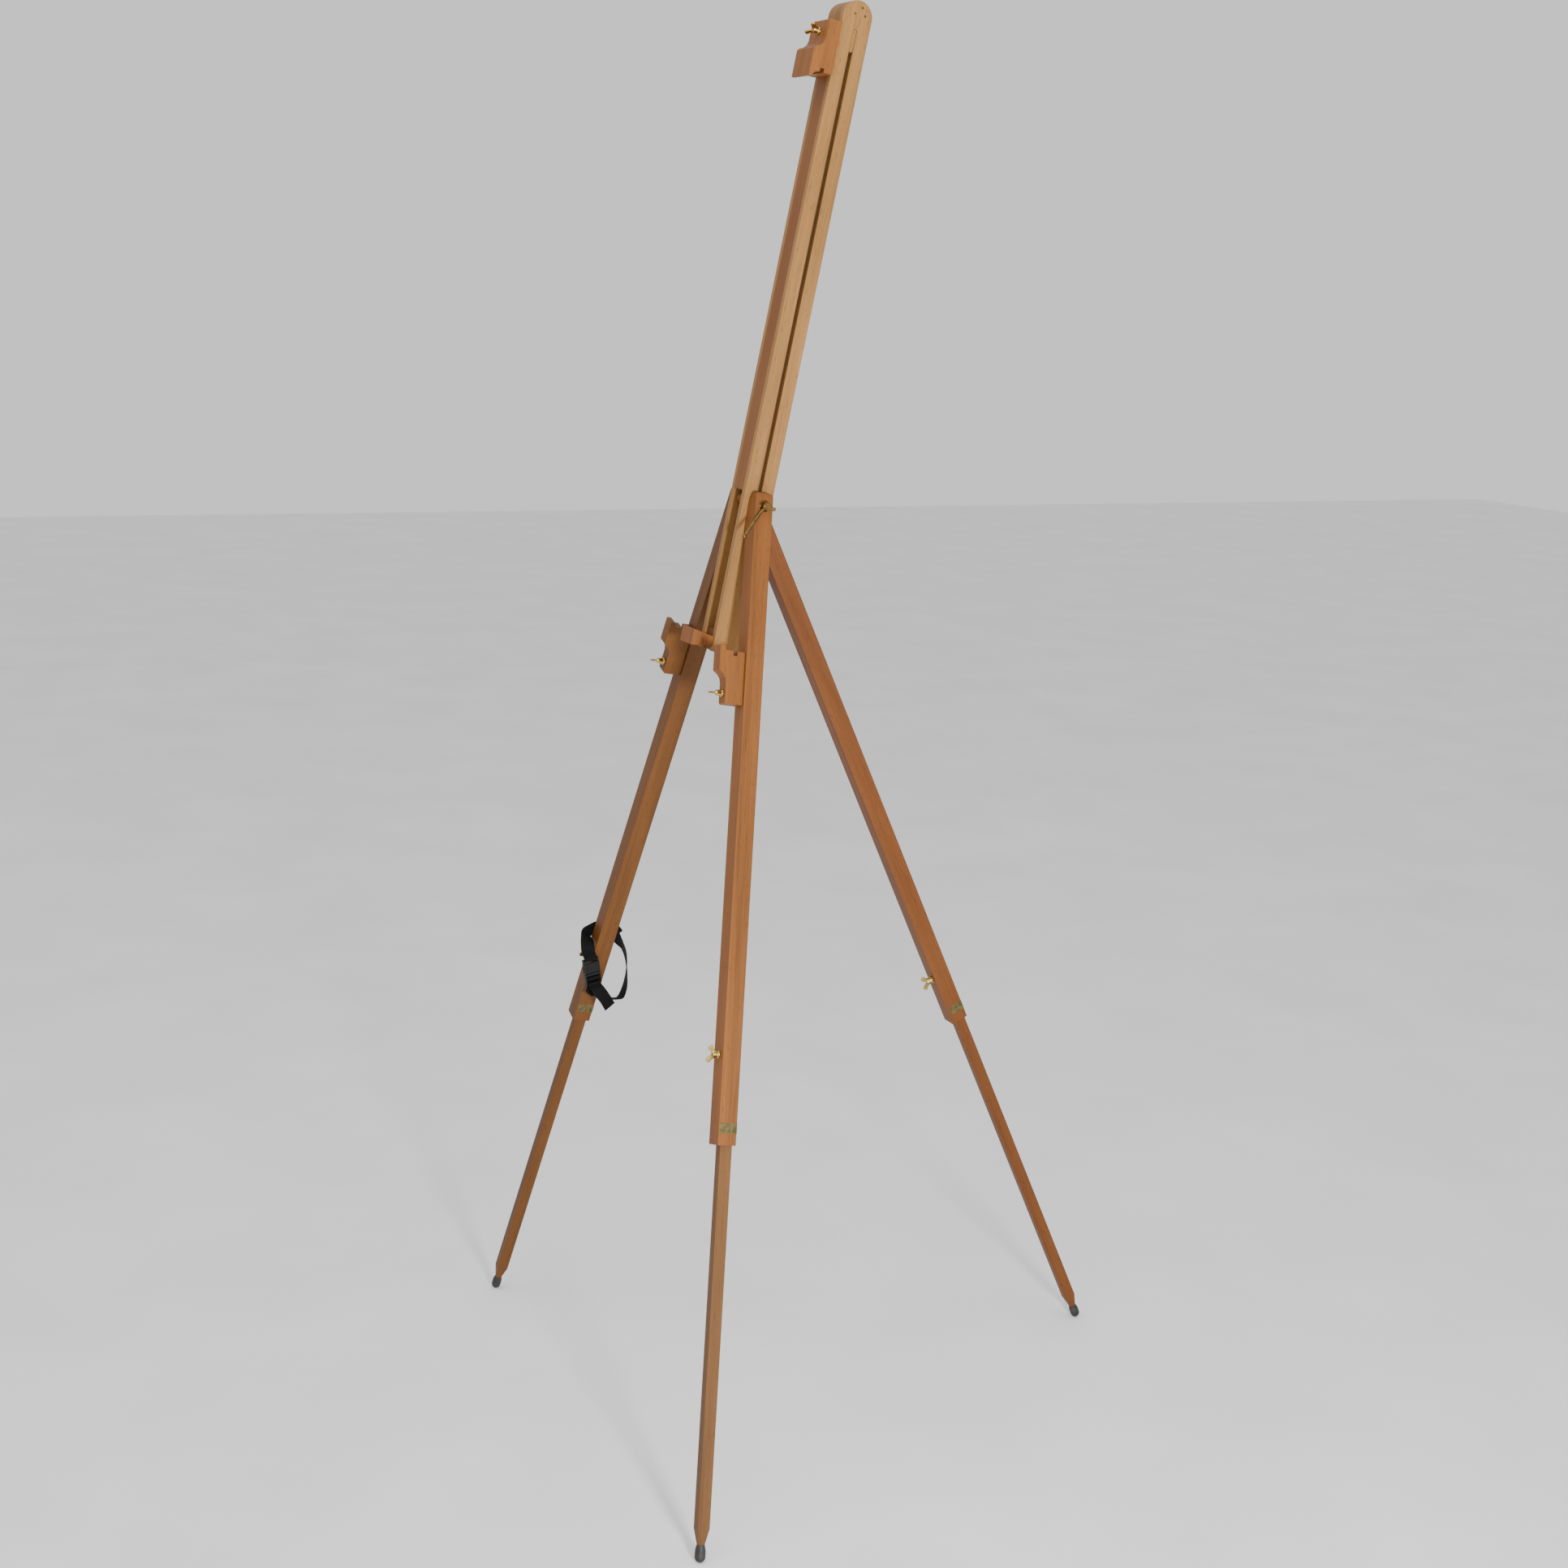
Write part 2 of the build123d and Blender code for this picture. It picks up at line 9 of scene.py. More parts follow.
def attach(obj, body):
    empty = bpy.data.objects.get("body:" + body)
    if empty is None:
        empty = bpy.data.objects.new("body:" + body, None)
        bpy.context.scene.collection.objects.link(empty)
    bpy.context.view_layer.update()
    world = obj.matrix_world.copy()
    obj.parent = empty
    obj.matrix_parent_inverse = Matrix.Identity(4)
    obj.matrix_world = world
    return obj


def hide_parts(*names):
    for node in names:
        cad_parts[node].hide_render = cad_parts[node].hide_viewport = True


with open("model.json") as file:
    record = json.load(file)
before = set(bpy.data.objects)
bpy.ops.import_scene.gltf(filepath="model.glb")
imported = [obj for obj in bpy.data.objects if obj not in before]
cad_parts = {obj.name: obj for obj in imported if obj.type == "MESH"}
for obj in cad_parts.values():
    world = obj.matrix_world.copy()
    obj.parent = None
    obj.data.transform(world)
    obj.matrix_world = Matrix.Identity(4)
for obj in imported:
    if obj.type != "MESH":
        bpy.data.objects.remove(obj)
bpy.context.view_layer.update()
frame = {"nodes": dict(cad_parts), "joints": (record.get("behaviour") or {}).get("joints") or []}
NODES = frame["nodes"]
JOINTS = {joint["name"]: joint for joint in frame["joints"]}
MM = 0.001


# ---- local frames of the long pieces, from the joints ----
def local_frame(slide, turn, y, z):
    """Frame of a long piece: local Z runs up it and local Y to its back. y, z place the turn joint."""
    up = Vector(JOINTS[slide]["axis"]).normalized()
    back = -Vector(JOINTS[turn]["axis"]).normalized()
    side = back.cross(up)
    origin = Vector(JOINTS[turn]["pos_m"]) - back * y * MM - up * z * MM
    turn_matrix = Matrix((side, back, up)).transposed().to_4x4()
    return Matrix.Translation(origin) @ turn_matrix


NEAR = local_frame("near_leg_slide", "near_wing_turn", -20, -760)
FAR = local_frame("far_leg_slide", "far_wing_turn", -20, -760)
REAR = local_frame("rear_leg_slide", "rear_wing_turn", -20, -806)
MAST = local_frame("top_rest_slide", "top_wing_turn", -45, 640)
PIVOT = Vector(JOINTS["mast_tilt"]["pos_m"])


# ---- camera ----
CAMERA_FROM_PIVOT = Vector((2.8704, -1.2912, 0.3127))
CAMERA_YAW, CAMERA_PITCH, CAMERA_ROLL = 64.66, -12.82, 2.05
CAMERA_LENS = 51.35


def make_camera():
    yaw, pitch, roll = (math.radians(a) for a in (CAMERA_YAW, CAMERA_PITCH, CAMERA_ROLL))
    look = Vector((-math.sin(yaw) * math.cos(pitch), math.cos(yaw) * math.cos(pitch), math.sin(pitch)))
    level = Vector((math.cos(yaw), math.sin(yaw), 0))
    up = level.cross(look)
    right = level * math.cos(roll) + up * math.sin(roll)
    camera_up = up * math.cos(roll) - level * math.sin(roll)
    data = bpy.data.cameras.new("camera")
    data.lens = CAMERA_LENS
    data.clip_end = 50.0
    camera = bpy.data.objects.new("camera", data)
    bpy.context.scene.collection.objects.link(camera)
    turn = Matrix((right, camera_up, -look)).transposed().to_4x4()
    camera.matrix_world = Matrix.Translation(PIVOT + CAMERA_FROM_PIVOT) @ turn
    bpy.context.scene.camera = camera


make_camera()


# ---- material helpers ----
class Shader:
    """A material with its node tree and short calls for adding nodes."""

    def __init__(self, name, **principled):
        self.material = bpy.data.materials.new(name)
        self.material.use_nodes = True
        self.tree = self.material.node_tree
        self.surface = self.tree.nodes["Principled BSDF"]
        for socket, value in principled.items():
            self.surface.inputs[socket.replace("_", " ")].default_value = value

    def add(self, kind, **settings):
        node = self.tree.nodes.new(kind)
        for key, value in settings.items():
            setattr(node, key, value)
        return node

    def link(self, out, into):
        self.tree.links.new(out, into)

    def place(self, matrix, shift):
        """Coordinates in the piece's own frame, moved by shift so that no two pieces match."""
        coords = self.add("ShaderNodeTexCoord")
        mapping = self.add("ShaderNodeMapping", vector_type="TEXTURE")
        mapping.inputs["Location"].default_value = matrix.translation + Vector(shift)
        mapping.inputs["Rotation"].default_value = matrix.to_euler()
        self.link(coords.outputs["Object"], mapping.inputs["Vector"])
        return mapping.outputs["Vector"]

    def stretch(self, vector, scale):
        mapping = self.add("ShaderNodeMapping")
        mapping.inputs["Scale"].default_value = scale
        self.link(vector, mapping.inputs["Vector"])
        return mapping.outputs["Vector"]

    def noise(self, vector, scale, detail=3.0, roughness=0.5, distortion=0.0):
        node = self.add("ShaderNodeTexNoise")
        for key, value in (("Scale", scale), ("Detail", detail), ("Roughness", roughness),
                           ("Distortion", distortion)):
            node.inputs[key].default_value = value
        self.link(vector, node.inputs["Vector"])
        return node.outputs["Fac"]

    def ramp(self, fac, stops):
        node = self.add("ShaderNodeValToRGB")
        band = node.color_ramp
        while len(band.elements) < len(stops):
            band.elements.new(0.5)
        for element, (place, colour) in zip(band.elements, stops):
            element.position = place
            element.color = (*colour, 1.0) if len(colour) == 3 else colour
        self.link(fac, node.inputs["Fac"])
        return node.outputs["Color"]

    def math(self, operation, a, b):
        node = self.add("ShaderNodeMath", operation=operation)
        for socket, value in zip(node.inputs, (a, b)):
            if isinstance(value, (int, float)):
                socket.default_value = value
            else:
                self.link(value, socket)
        return node.outputs["Value"]

    def mix(self, fac, a, b, blend="MIX"):
        node = self.add("ShaderNodeMix", data_type="RGBA", blend_type=blend)
        for socket, value in ((node.inputs["Factor"], fac), (node.inputs["A"], a), (node.inputs["B"], b)):
            if isinstance(value, (int, float)):
                socket.default_value = value
            elif isinstance(value, tuple):
                socket.default_value = (*value, 1.0)
            else:
                self.link(value, socket)
        return node.outputs["Result"]

    def bump(self, height, strength, distance, soft_edge=0.0):
        node = self.add("ShaderNodeBump")
        node.inputs["Strength"].default_value = strength
        node.inputs["Distance"].default_value = distance
        self.link(height, node.inputs["Height"])
        if soft_edge:
            bevel = self.add("ShaderNodeBevel", samples=4)
            bevel.inputs["Radius"].default_value = soft_edge
            self.link(bevel.outputs["Normal"], node.inputs["Normal"])
        self.link(node.outputs["Normal"], self.surface.inputs["Normal"])

    def edge_wear(self, radius):
        """1 on sharp edges and 0 on flat faces."""
        bevel = self.add("ShaderNodeBevel", samples=4)
        bevel.inputs["Radius"].default_value = radius
        geometry = self.add("ShaderNodeNewGeometry")
        dot = self.add("ShaderNodeVectorMath", operation="DOT_PRODUCT")
        self.link(bevel.outputs["Normal"], dot.inputs[0])
        self.link(geometry.outputs["Normal"], dot.inputs[1])
        return self.math("SUBTRACT", 1.0, dot.outputs["Value"])


def shade(colour, factor):
    return tuple(c * factor for c in colour)


def wood(name, colour, matrix, shift):
    """Oiled beech: long grain, growth bands, short ray flecks, worn darker edges."""
    shader = Shader(name, Coat_Weight=0.04, Coat_Roughness=0.35, Specular_IOR_Level=0.2)
    place = shader.place(matrix, shift)
    bands = shader.noise(shader.stretch(place, (55, 38, 1.6)), 1.0, 4.0, 0.55, 0.6)
    streaks = shader.noise(shader.stretch(place, (420, 420, 9)), 1.0, 5.0, 0.62)
    flecks = shader.noise(shader.stretch(place, (900, 520, 95)), 1.0, 1.5, 0.4)
    blotches = shader.noise(shader.stretch(place, (9, 9, 3.2)), 1.0, 3.0, 0.5)
    tone = shader.math("ADD", shader.math("MULTIPLY", bands, 0.6), shader.math("MULTIPLY", streaks, 0.4))
    stops = (
        (0.33, shade(colour, 0.62)), (0.46, shade(colour, 0.9)), (0.55, colour), (0.68, shade(colour, 1.22)),
    )
    body = shader.ramp(tone, stops)
    fleck_mask = shader.ramp(flecks, ((0.62, (0, 0, 0)), (0.72, (1, 1, 1))))
    body = shader.mix(shader.math("MULTIPLY", fleck_mask, 0.45), body, shade(colour, 0.42))
    tint = shader.ramp(blotches, ((0.3, (0.86, 0.80, 0.74)), (0.7, (1.1, 1.1, 1.1))))
    body = shader.mix(1.0, body, tint, "MULTIPLY")
    wear = shader.math("MULTIPLY", shader.edge_wear(0.0012), shader.math("MULTIPLY", streaks, 2.2))
    body = shader.mix(wear, body, shade(colour, 0.55))
    shader.link(body, shader.surface.inputs["Base Color"])
    rough = shader.ramp(streaks, ((0.3, (0.42,) * 3), (0.7, (0.62,) * 3)))
    shader.link(rough, shader.surface.inputs["Roughness"])
    height = shader.math("SUBTRACT", streaks, shader.math("MULTIPLY", fleck_mask, 0.6))
    shader.bump(height, 0.35, 0.00025, soft_edge=0.0007)
    return shader.material


def metal(name, colour, rough, matrix, brushed=(300, 300, 300)):
    """Worn metal: fine scratches, tarnish in patches, edges rubbed brighter."""
    shader = Shader(name, Metallic=1.0)
    place = shader.place(matrix, (0, 0, 0))
    scratches = shader.noise(shader.stretch(place, brushed), 4.0, 4.0, 0.6)
    tarnish = shader.noise(place, 140.0, 3.0, 0.55)
    body = shader.ramp(tarnish, ((0.35, shade(colour, 0.6)), (0.55, colour), (0.75, shade(colour, 1.15))))
    wear = shader.math("MULTIPLY", shader.edge_wear(0.0006), 1.5)
    body = shader.mix(wear, body, shade(colour, 1.35))
    shader.link(body, shader.surface.inputs["Base Color"])
    spread = shader.ramp(scratches, ((0.3, (rough * 0.75,) * 3), (0.7, (rough * 1.35,) * 3)))
    shader.link(spread, shader.surface.inputs["Roughness"])
    shader.bump(scratches, 0.12, 0.00008, soft_edge=0.0004)
    return shader.material


def rubber(name, matrix):
    shader = Shader(name, Specular_IOR_Level=0.4)
    place = shader.place(matrix, (0, 0, 0))
    grain = shader.noise(place, 1600.0, 2.0, 0.6)
    dust = shader.noise(place, 90.0, 4.0, 0.6)
    body = shader.ramp(dust, ((0.4, (0.010, 0.010, 0.010)), (0.75, (0.040, 0.038, 0.034))))
    shader.link(body, shader.surface.inputs["Base Color"])
    rough = shader.ramp(dust, ((0.3, (0.42,) * 3), (0.7, (0.7,) * 3)))
    shader.link(rough, shader.surface.inputs["Roughness"])
    shader.bump(grain, 0.25, 0.00015, soft_edge=0.0006)
    return shader.material


def plastic(name, matrix):
    shader = Shader(name, Specular_IOR_Level=0.28)
    place = shader.place(matrix, (0, 0, 0))
    grain = shader.noise(place, 2400.0, 2.0, 0.5)
    scuffs = shader.noise(shader.stretch(place, (60, 400, 60)), 1.5, 4.0, 0.65)
    body = shader.ramp(scuffs, ((0.5, (0.0015, 0.0015, 0.0016)), (0.8, (0.006, 0.006, 0.0063))))
    shader.link(body, shader.surface.inputs["Base Color"])
    rough = shader.ramp(scuffs, ((0.3, (0.30,) * 3), (0.75, (0.55,) * 3)))
    shader.link(rough, shader.surface.inputs["Roughness"])
    shader.bump(grain, 0.2, 0.0001, soft_edge=0.0004)
    return shader.material


def webbing(name):
    """Woven tape: ribs along the strap crossed by weft, from the ribbon's own UV in metres."""
    shader = Shader(name, Specular_IOR_Level=0.12)
    coords = shader.add("ShaderNodeUVMap", uv_map="web")
    rib = shader.add("ShaderNodeTexWave", wave_type="BANDS", bands_direction="X", wave_profile="SIN")
    weft = shader.add("ShaderNodeTexWave", wave_type="BANDS", bands_direction="Y", wave_profile="SIN")
    for node, scale in ((rib, 150.0), (weft, 260.0)):
        node.inputs["Scale"].default_value = scale
        node.inputs["Distortion"].default_value = 0.4
        shader.link(coords.outputs["UV"], node.inputs["Vector"])
    weave = shader.math("MULTIPLY", rib.outputs["Fac"], weft.outputs["Fac"])
    fuzz = shader.noise(coords.outputs["UV"], 900.0, 3.0, 0.6)
    tone = shader.math("ADD", shader.math("MULTIPLY", weave, 0.7), shader.math("MULTIPLY", fuzz, 0.3))
    body = shader.ramp(tone, ((0.1, (0.0012, 0.0012, 0.0012)), (0.8, (0.0075, 0.0072, 0.007))))
    shader.link(body, shader.surface.inputs["Base Color"])
    rough = shader.ramp(fuzz, ((0.3, (0.62,) * 3), (0.7, (0.85,) * 3)))
    shader.link(rough, shader.surface.inputs["Roughness"])
    shader.bump(tone, 0.8, 0.0004)
    return shader.material


def dress(node, material):
    data = NODES[node].data
    data.materials.clear()
    data.materials.append(material)


# ---- finishes of the CAD nodes ----
ORANGE = (0.222, 0.080, 0.017)
# Painted shade: a darker copy of ORANGE for the far leg's pieces, which stand in shadow
SHADED_FAR_BEECH = (0.140, 0.053, 0.0105)
AMBER = (0.155, 0.050, 0.0095)
PALE = (0.320, 0.160, 0.047)
WOOD_PIECES = {
    "near_upper_leg": (ORANGE, NEAR, (0.1, 0.2, 0.3)),
    "near_lower_leg": ((0.150, 0.068, 0.021), NEAR, (0.4, 0.1, 0.9)),
    "near_holder": (shade(ORANGE, 1.05), NEAR, (0.7, 0.3, 0.2)),
    # The far leg, far lower leg and far holder carry painted shade: darker copies of the near leg's beech
    "far_upper_leg": (SHADED_FAR_BEECH, FAR, (0.2, 0.5, 0.1)),
    "far_lower_leg": (shade(SHADED_FAR_BEECH, 0.85), FAR, (0.6, 0.2, 0.8)),
    "far_holder": ((0.145, 0.054, 0.0075), FAR, (0.3, 0.9, 0.4)),
    "rear_upper_leg": (AMBER, REAR, (0.5, 0.7, 0.6)),
    "rear_lower_leg": (shade(AMBER, 0.85), REAR, (0.9, 0.4, 0.5)),
    "mast_near_board": (PALE, MAST, (0.8, 0.6, 0.7)),
    # Painted shade: the far board is the near board's beech at 0.92, for its shaded side
    "mast_far_board": (shade(PALE, 0.92), MAST, (0.15, 0.35, 0.45)),
    "mast_top_block": (shade(PALE, 0.8), MAST, (0.55, 0.25, 0.65)),
    "mast_spacer": (shade(ORANGE, 0.9), MAST, (0.25, 0.65, 0.35)),
    "mast_ledge": (shade(ORANGE, 1.1), MAST, (0.45, 0.85, 0.15)),
    "ledge_dowels": (shade(ORANGE, 1.1), MAST, (0.65, 0.15, 0.25)),
    "sliding_lath": (shade(ORANGE, 0.95), MAST, (0.35, 0.75, 0.95)),
    "tongue_block": (shade(PALE, 0.9), MAST, (0.95, 0.55, 0.05)),
    "top_holder": (shade(ORANGE, 1.08), MAST, (0.05, 0.45, 0.55)),
}
for node_name, (colour, matrix, shift) in WOOD_PIECES.items():
    dress(node_name, wood("wood_" + node_name, colour, matrix, shift))

BRASS = (0.50, 0.34, 0.10)
BRONZE = (0.19, 0.115, 0.035)
STEEL = (0.17, 0.13, 0.055)
for side, matrix in (("near", NEAR), ("far", FAR), ("rear", REAR)):
    dress(side + "_foot", rubber("rubber_" + side, matrix))
    dress(side + "_leg_clip", metal("clip_" + side, STEEL, 0.4, matrix, (40, 300, 300)))
    dress(side + "_leg_insert", metal("insert_" + side, BRASS, 0.35, matrix))
for side, matrix in (("near", NEAR), ("far", FAR)):
    dress(side + "_holder_insert", metal("holder_insert_" + side, BRASS, 0.35, matrix))
AT_PIVOT = Matrix.Translation(PIVOT)
lever_brass = metal("lever_bronze", BRONZE, 0.3, AT_PIVOT)
for node_name in ("lever_hub", "lever_arm", "lever_tail"):
    dress(node_name, lever_brass)
bolt_brass = metal("bolt_brass", BRASS, 0.32, AT_PIVOT)
for node_name in ("main_bolt", "near_bolt_washer", "far_bolt_washer", "pivot_washers"):
    dress(node_name, bolt_brass)
dress("tongue_insert", metal("tongue_insert_brass", BRASS, 0.35, MAST))
dress("mast_nails", metal("nail_steel", STEEL, 0.45, MAST))


# ---- mesh helpers ----
def new_object(name, mesh, matrix=None):
    piece = bpy.data.objects.new(name, mesh)
    bpy.context.scene.collection.objects.link(piece)
    if matrix is not None:
        piece.matrix_world = matrix
    return piece


def applied(piece):
    """The piece's mesh with its modifiers applied."""
    bpy.context.view_layer.update()
    graph = bpy.context.evaluated_depsgraph_get()
    mesh = bpy.data.meshes.new_from_object(piece.evaluated_get(graph))
    piece.modifiers.clear()
    piece.data = mesh
    return mesh


def lathe(bm, profile, segments=40):
    """Turns (radius, y) points about the Y axis; both end points lie on the axis."""
    rings = []
    for radius, y in profile:
        if radius == 0:
            rings.append([bm.verts.new((0, y, 0))])
            continue
        angles = [2 * math.pi * i / segments for i in range(segments)]
        rings.append([bm.verts.new((radius * math.cos(a), y, radius * math.sin(a))) for a in angles])
    for low, high in zip(rings, rings[1:]):
        for i in range(segments):
            j = (i + 1) % segments
            corners = [low[i % len(low)], low[j % len(low)], high[j % len(high)], high[i % len(high)]]
            bm.faces.new(list(dict.fromkeys(corners)))


def plate(bm, outline, thickness):
    """A flat plate in the YZ plane, thickness across X, from a closed (y, z) outline."""
    sides = [[bm.verts.new((x, y, z)) for y, z in outline] for x in (-thickness / 2, thickness / 2)]
    bm.faces.new(sides[0][::-1])
    bm.faces.new(sides[1])
    count = len(outline)
    for i in range(count):
        j = (i + 1) % count
        bm.faces.new((sides[0][i], sides[0][j], sides[1][j], sides[1][i]))


def melted(piece, name, voxel, iterations):
    """Joins a piece's overlapping shells into one skin with soft edges, and removes the piece."""
    remesh = piece.modifiers.new("melt", "REMESH")
    remesh.mode = "VOXEL"
    remesh.voxel_size = voxel * MM
    smooth = piece.modifiers.new("smooth", "SMOOTH")
    smooth.factor = 0.5
    smooth.iterations = iterations
    mesh = applied(piece)
    mesh.name = name
    bpy.data.objects.remove(piece)
    return mesh


# ---- wing screws ----
EAR_THICK = 2.6
THREAD_PITCH, THREAD_ROOT, THREAD_CREST = 1.0 * MM, 2.6 * MM, 2.95 * MM


def wing_outline(sign):
    """One ear: rises from the boss, leans out and ends in a round pad."""
    pad_y, pad_z, pad_r = -13.2, 8.6, 3.6
    points = [(-1.5, 1.0), (-3.0, 4.6), (-7.0, 6.4)]
    steps = 10
    for i in range(steps + 1):
        angle = math.radians(-10 + 210 * i / steps)
        points.append((pad_y + pad_r * math.cos(angle), pad_z + pad_r * math.sin(angle)))
    points += [(-12.5, 3.4), (-8.8, 1.0)]
    return [(y * MM, sign * z * MM) for y, z in points]


def wing_screw_mesh(name, shank):
    """A cast wing screw: boss and ears melted together, on a threaded shank. The head faces -Y."""
    bm = bmesh.new()
    boss = [
        (0, 0.2), (5.4, 0.2), (5.6, -0.4), (5.5, -1.4), (4.5, -2.4), (4.2, -6.0), (3.9, -8.6), (2.9, -9.8),
        (0, -10.0),
    ]
    lathe(bm, [(r * MM, y * MM) for r, y in boss])
    for sign in (-1, 1):
        plate(bm, wing_outline(sign), EAR_THICK * MM)
    bmesh.ops.recalc_face_normals(bm, faces=bm.faces)
    mesh = bpy.data.meshes.new(name)
    bm.to_mesh(mesh)
    bm.free()
    mesh = melted(new_object(name, mesh), name, voxel=0.30, iterations=8)
    bm = bmesh.new()
    bm.from_mesh(mesh)
    pitch, root, crest = THREAD_PITCH, THREAD_ROOT, THREAD_CREST
    profile = [(0, -0.001), (root, -0.001)]
    y = 0.0
    while y < shank - 0.6 * pitch:
        profile += [(root, y), (crest, y + 0.4 * pitch), (crest, y + 0.55 * pitch)]
        y += pitch
    profile += [(root, shank - 0.0005), (root * 0.8, shank), (0, shank)]
    lathe(bm, profile, 24)
    bmesh.ops.recalc_face_normals(bm, faces=bm.faces)
    bm.to_mesh(mesh)
    bm.free()
    for face in mesh.polygons:
        face.use_smooth = True
    return mesh


# Each screw: name, node, frame, seat and tip along local Y, place along local Z, turn, body.
LEG_SEAT, LEG_TIP = -13.8, -6.55
REST_SEAT, TOP_SEAT = -40.7, -41.75
SCREWS = [
    ("near_leg_wing", "near_leg_wing_bolt", NEAR, LEG_SEAT, LEG_TIP, -760, 20, "near_wing"),
    ("far_leg_wing", "far_leg_wing_bolt", FAR, LEG_SEAT, LEG_TIP, -760, 0, "far_wing"),
    ("rear_leg_wing", "rear_leg_wing_bolt", REAR, LEG_SEAT, LEG_TIP, -806, 12, "rear_wing"),
    ("near_rest_screw", "near_holder_wing_screw", NEAR, REST_SEAT, LEG_TIP, -270, 97, "near_rest_wing"),
    ("far_rest_screw", "far_holder_wing_screw", FAR, REST_SEAT, LEG_TIP, -262, 64, "far_rest_wing"),
    ("top_screw", "top_wing_screw", MAST, TOP_SEAT, 2.0, 640, 60, "top_wing"),
]
wing_brass = metal("wing_brass", BRASS, 0.28, Matrix.Identity(4))
for name, node_name, matrix, seat, tip, z, turn, body in SCREWS:
    mesh = wing_screw_mesh(name, (tip - seat) * MM)
    mesh.materials.append(wing_brass)
    place = matrix @ Matrix.Translation((0, seat * MM, z * MM)) @ Matrix.Rotation(math.radians(turn), 4, "Y")
    screw = new_object(name, mesh, place)
    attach(screw, body)
    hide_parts(node_name)


# ---- carrying strap and its buckle, in the far leg's frame ----
WEB_HALF_WIDTH, WEB_HALF_THICK = 11.0, 0.8
STEPS_PER_PLACE = 7
BUCKLE_CENTRE = Vector((32.8, -17.1, -777.5))
BUCKLE_ALONG = Vector((0.36, 0.3, -0.88)).normalized()
BUCKLE_FACE = Vector((0.9, 0.12, 0.41)).normalized()
BUCKLE_ACROSS = BUCKLE_FACE.cross(BUCKLE_ALONG).normalized()
BUCKLE = FAR @ Matrix.Translation(BUCKLE_CENTRE * MM) @ Matrix(
    (BUCKLE_ALONG, BUCKLE_ACROSS, BUCKLE_FACE)).transposed().to_4x4()


def in_buckle(along, out):
    """A place and width direction for webbing that runs through the buckle's bars."""
    return BUCKLE_CENTRE + BUCKLE_ALONG * along + BUCKLE_FACE * out, BUCKLE_ACROSS


LOOP_PLACES = [
    in_buckle(-16.6, -2.6), in_buckle(-16.9, 1.6), in_buckle(-19.6, 3.7), in_buckle(-23.0, 1.6),
    ((16.5, -25.8, -751.9), (0.0, 0.98, 0.1)),
    ((9.7, -26.8, -744.2), (-0.05, 0.98, 0.1)),
    ((0.6, -25.4, -741.0), (0.0, 0.97, -0.12)),
    ((-12.6, -23.0, -737.6), (-0.25, 0.85, -0.42)),
    ((-17.4, -15.0, -733.0), (-0.12, 0.68, -0.7)),
    ((-18.6, -6.0, -728.5), (0, 0.5, -0.86)),
    ((-18.3, 7.0, -723.0), (0, 0.3, -0.95)),
    ((-16.2, 16.0, -722.0), (0.1, 0.1, -1)),
    ((-6.5, 19.5, -725.5), (0.35, 0.0, -0.9)),
    ((-1.3, 22.6, -734.6), (0.8, -0.3, -0.5)),
    ((5.0, 33.2, -745.1), (0.85, -0.45, 0.1)),
    ((10.2, 40.5, -757.6), (0.82, -0.45, 0.2)),
    ((15.0, 45.1, -772.2), (0.82, -0.38, 0.3)),
    ((20.8, 47.6, -788.6), (0.8, -0.25, 0.35)),
    ((27.8, 47.4, -805.5), (0.72, -0.05, 0.45)),
    ((35.4, 42.1, -819.5), (0.75, 0.1, 0.48)),
    ((37.3, 32.1, -821.9), (0.86, 0.12, 0.45)),
    ((40.0, 18.8, -819.8), (0.86, 0.18, 0.44)),
    ((42.3, 4.7, -810.1), (0.7, 0.3, 0.6)),
    ((36.8, -9.1, -806.7), (-0.2, 0.94, 0.25)),
    in_buckle(26.0, -4.2), in_buckle(21.0, -3.6), in_buckle(15.6, -3.0), in_buckle(14.2, 0.8),
    in_buckle(12.0, 4.2), in_buckle(9.6, 3.4), in_buckle(8.4, -0.6), in_buckle(8.6, -3.2),
]
TAIL_PLACES = [
    in_buckle(16.8, -1.6), in_buckle(17.0, 2.2), in_buckle(19.4, 4.3), in_buckle(22.4, 3.8),
    ((51.8, -7.2, -797.8), (-0.3, 0.92, 0.27)),
    ((58.0, 5.1, -808.6), (-0.5, 0.8, 0.3)),
    ((64.5, 15.4, -820.2), (-0.5, 0.8, 0.35)),
]


def smooth_places(places, steps):
    """A smooth run through the places, with the width direction turning along it."""
    centres = [Vector(centre) for centre, _ in places]
    widths = [Vector(width).normalized() for _, width in places]
    for i in range(1, len(widths)):
        if widths[i].dot(widths[i - 1]) < 0:
            widths[i] = -widths[i]
    run = []
    last = len(places) - 1
    for i in range(last):
        p0, p1, p2, p3 = (centres[min(max(i + k, 0), last)] for k in (-1, 0, 1, 2))
        for k in range(steps):
            t = k / steps
            centre = p1 + (p2 - p0) * (t / 2) + (p0 * 2 - p1 * 5 + p2 * 4 - p3) * (t * t / 2)
            centre += (p1 * 3 - p0 - p2 * 3 + p3) * (t ** 3 / 2)
            run.append((centre, widths[i].lerp(widths[i + 1], t)))
    return run + [(centres[-1], widths[-1])]


